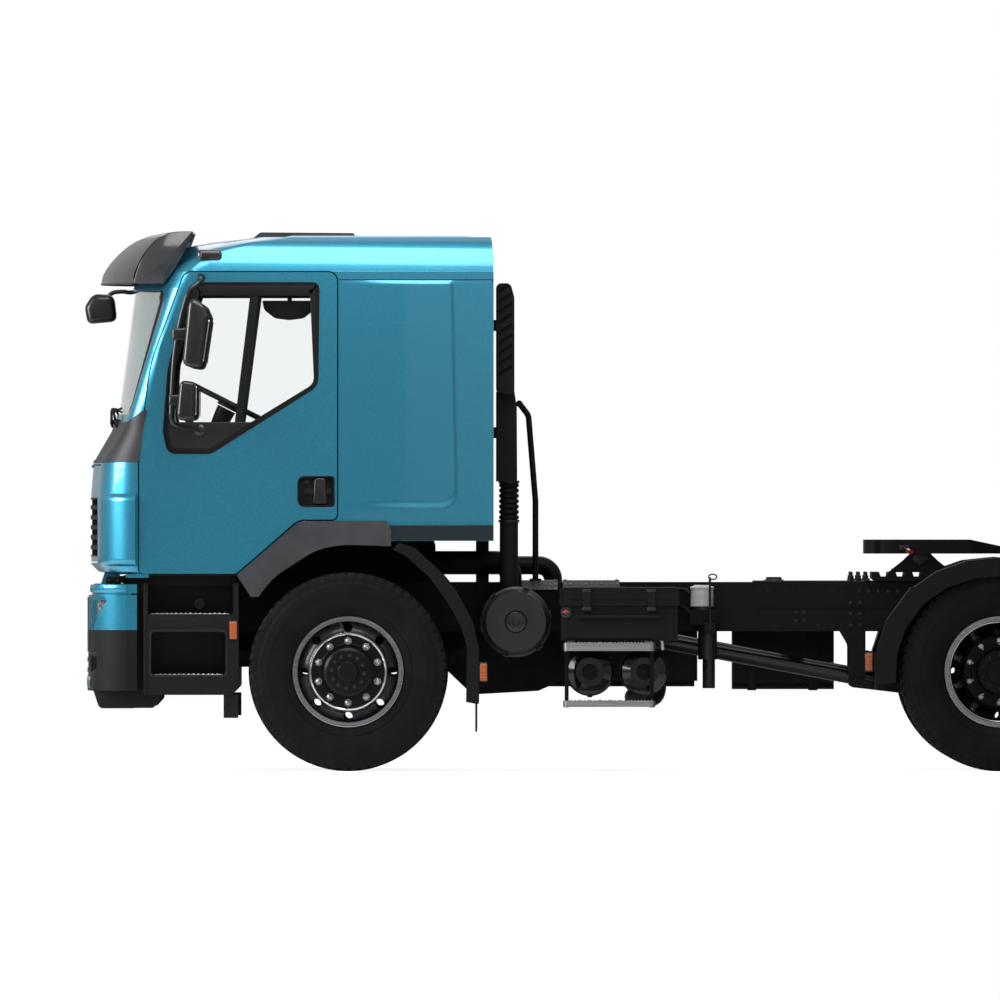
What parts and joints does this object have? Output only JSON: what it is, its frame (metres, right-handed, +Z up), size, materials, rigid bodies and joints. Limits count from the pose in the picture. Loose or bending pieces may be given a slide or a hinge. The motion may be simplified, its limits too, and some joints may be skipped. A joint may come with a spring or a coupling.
{
  "type": "semi-trailer tractor unit",
  "caption": "Cab-over road tractor for semi-trailers, with a tilting sleeper cab, steered front axle, twin rear wheels and a fifth wheel coupling.",
  "frame": {"origin": "on the ground below the middle of the overall length and width", "axes": "+X forward, +Y to the left side, +Z up"},
  "size_m": [5.7488, 2.85, 2.9188],
  "materials": {
    "cab_paint": "metallic gloss",
    "chassis_paint": "satin black",
    "grey_plastic": "grained",
    "black_plastic": "grained",
    "gloss_black": "gloss",
    "tyre": "rubber",
    "wheel_steel": "bright painted steel",
    "cast": "painted black",
    "aluminium": "brushed",
    "glass": "clear",
    "lamp_glass": "clear",
    "seat_fabric": "woven",
    "lamp_plastic": "amber and red"
  },
  "bodies": {
    "chassis": {"frame": "chassis_paint", "front_axle": "cast", "rear_axle": "cast", "engine": "cast", "bumper": "grey_plastic", "lamp_surrounds": "cab_paint", "headlamps": "lamp_glass", "cab_steps": "grey_plastic", "front_mudguards": "black_plastic", "rear_mudguards": "black_plastic", "air_intake": "black_plastic", "catwalk": "aluminium", "battery_box": "black_plastic", "air_system": "chassis_paint", "fuel_tank": "aluminium", "silencer": "chassis_paint", "fifth_wheel_base": "chassis_paint", "marker_lamps": "lamp_plastic"},
    "cab": {"cab_shell": "cab_paint", "cab_roof": "cab_paint", "windscreen": "glass", "sun_visor": "gloss_black", "snorkel": "black_plastic", "arch_trims": "grey_plastic", "cab_interior": "seat_fabric", "front_mirror": "black_plastic"},
    "left_door": {"door_left": "cab_paint", "door_glass_left": "glass", "mirrors_left": "black_plastic"},
    "right_door": {"door_right": "cab_paint", "door_glass_right": "glass", "mirrors_right": "black_plastic"},
    "front_lid": {"front_panel": "cab_paint"},
    "hatch": {"roof_hatch": "gloss_black"},
    "steering": {"steering_wheel": "black_plastic"},
    "left_knuckle": {"knuckle_left": "cast"},
    "right_knuckle": {"knuckle_right": "cast"},
    "tie_rod": {"tie_rod": "cast"},
    "front_left_wheel": {"rim_front_left": "wheel_steel", "tyre_front_left": "tyre"},
    "front_right_wheel": {"rim_front_right": "wheel_steel", "tyre_front_right": "tyre"},
    "rear_left_wheels": {"rims_rear_left": "wheel_steel", "tyres_rear_left": "tyre"},
    "rear_right_wheels": {"rims_rear_right": "wheel_steel", "tyres_rear_right": "tyre"},
    "coupling_plate": {"fifth_wheel_plate": "chassis_paint"}
  },
  "joints": [
    {"name": "left_steer", "type": "hinge", "parent": "chassis", "child": "left_knuckle", "pos_m": [1.4296, 0.88, 0.538], "axis": [0, 0, 1], "range_deg": [-38, 38]},
    {"name": "right_steer", "type": "hinge", "parent": "chassis", "child": "right_knuckle", "pos_m": [1.4296, -0.88, 0.538], "axis": [0, 0, 1], "range_deg": [-38, 38]},
    {"name": "tie_rod_swing", "type": "hinge", "parent": "left_knuckle", "child": "tie_rod", "pos_m": [1.2596, 0.88, 0.479], "axis": [0, 0, 1], "range_deg": [-38, 38]},
    {"name": "steering_wheel_turn", "type": "hinge", "parent": "cab", "child": "steering", "pos_m": [2.0746, 0.56, 1.99], "axis": [-0.45, 0, 0.893], "range_deg": [-684, 684]},
    {"name": "front_left_spin", "type": "hinge", "parent": "left_knuckle", "child": "front_left_wheel", "pos_m": [1.4296, 1.005, 0.538], "axis": [0, 1, 0], "continuous": true},
    {"name": "front_right_spin", "type": "hinge", "parent": "right_knuckle", "child": "front_right_wheel", "pos_m": [1.4296, -1.005, 0.538], "axis": [0, 1, 0], "continuous": true},
    {"name": "rear_left_spin", "type": "hinge", "parent": "chassis", "child": "rear_left_wheels", "pos_m": [-2.0904, 0.9175, 0.538], "axis": [0, 1, 0], "continuous": true},
    {"name": "rear_right_spin", "type": "hinge", "parent": "chassis", "child": "rear_right_wheels", "pos_m": [-2.0904, -0.9175, 0.538], "axis": [0, 1, 0], "continuous": true},
    {"name": "cab_tilt", "type": "hinge", "parent": "chassis", "child": "cab", "pos_m": [2.7296, 0, 0.96], "axis": [0, 1, 0], "range_deg": [0, 62]},
    {"name": "left_door_swing", "type": "hinge", "parent": "cab", "child": "left_door", "pos_m": [2.5196, 1.142, 1.7], "axis": [0, 0, -1], "range_deg": [0, 80]},
    {"name": "right_door_swing", "type": "hinge", "parent": "cab", "child": "right_door", "pos_m": [2.5196, -1.142, 1.7], "axis": [0, 0, 1], "range_deg": [0, 80]},
    {"name": "front_lid_swing", "type": "hinge", "parent": "cab", "child": "front_lid", "pos_m": [2.8176, 0, 1.648], "axis": [0, -1, 0], "range_deg": [0, 75]},
    {"name": "hatch_swing", "type": "hinge", "parent": "cab", "child": "hatch", "pos_m": [1.3836, 0, 2.8945], "axis": [0, -1, 0], "range_deg": [0, 25]},
    {"name": "coupling_pitch", "type": "hinge", "parent": "chassis", "child": "coupling_plate", "pos_m": [-1.6754, 0, 1.158], "axis": [0, 1, 0], "range_deg": [-11, 11]}
  ],
  "couplings": [
    {"joint": "right_steer", "follows": "left_steer", "ratio": 1},
    {"joint": "tie_rod_swing", "follows": "left_steer", "ratio": -1},
    {"joint": "steering_wheel_turn", "follows": "left_steer", "ratio": 18}
  ]
}
